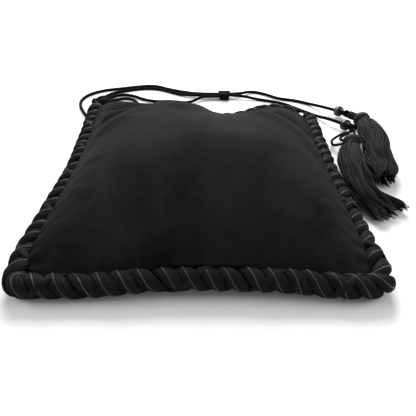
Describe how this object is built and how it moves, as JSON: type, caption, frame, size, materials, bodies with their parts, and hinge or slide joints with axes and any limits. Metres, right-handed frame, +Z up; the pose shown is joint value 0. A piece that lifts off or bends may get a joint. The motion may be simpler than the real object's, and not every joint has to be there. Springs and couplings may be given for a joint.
{
  "type": "drawstring dice bag",
  "caption": "Plump velvet drawstring pouch edged with thick twisted rope, with a knotted cord, beads and silky tassels at its mouth.",
  "frame": {"origin": "on the table under the middle of the bag's own bounding box, the free cords and tassels left out", "axes": "+X to the right seen from the closed end, +Y from the closed end to the mouth, +Z up"},
  "size_m": [0.2043, 0.2188, 0.0309],
  "materials": {
    "velvet": "soft black velvet pile",
    "lining": "black satin",
    "rope": "black twisted furnishing cord with a silky ply",
    "tape": "black woven cotton tape",
    "cord": "black satin cord",
    "bead": "glossy faceted black",
    "tassel": "silky black rayon thread"
  },
  "bodies": {
    "bag": {"velvet_front_panel": "velvet", "velvet_back_panel": "velvet", "lining_front_panel": "lining", "lining_back_panel": "lining", "back_casing": "velvet", "rope_seam_tape": "tape", "edge_rope": "rope", "mouth_rope": "rope", "drawstring_back_run": "cord", "strand_a": "cord", "strand_b": "cord", "strand_c": "cord", "strand_d": "cord", "corner_knot": "cord", "stop_knot_1": "cord", "stop_knot_2": "cord"},
    "front_lip": {"velvet_front_lip": "velvet", "lining_front_lip": "lining", "front_casing": "velvet", "drawstring_front_run": "cord"},
    "slip_knot": {"slip_knot": "cord"},
    "bead_1": {"bead_1": "bead"},
    "bead_2": {"bead_2": "bead"},
    "tassel_1": {"tassel_loop_1": "cord", "tassel_head_1": "tassel", "tassel_band_1": "tassel", "tassel_skirt_1": "tassel"},
    "tassel_2": {"tassel_loop_2": "cord", "tassel_head_2": "tassel", "tassel_band_2": "tassel", "tassel_skirt_2": "tassel"}
  },
  "joints": [
    {"name": "mouth_opening", "type": "slide", "parent": "bag", "child": "front_lip", "axis": [0, 0, 1], "range_m": [0, 0.012]},
    {"name": "slip_knot_slide", "type": "slide", "parent": "bag", "child": "slip_knot", "axis": [-1, 0, 0], "range_m": [0, 0.005]},
    {"name": "bead_1_spin", "type": "hinge", "parent": "bag", "child": "bead_1", "pos_m": [0.09407, 0.08254, 0.0042], "axis": [0.7588, -0.6514, 0], "continuous": true},
    {"name": "bead_2_spin", "type": "hinge", "parent": "bag", "child": "bead_2", "pos_m": [0.09281, 0.06138, 0.0042], "axis": [0.6347, -0.7727, 0], "continuous": true},
    {"name": "tassel_1_swing", "type": "hinge", "parent": "bag", "child": "tassel_1", "pos_m": [0.09832, 0.0789, 0.0042], "axis": [0, 0, 1], "range_deg": [0, 30]},
    {"name": "tassel_2_lift", "type": "hinge", "parent": "bag", "child": "tassel_2", "pos_m": [0.09637, 0.05705, 0.0042], "axis": [-1, 0, 0], "range_deg": [0, 60]}
  ]
}
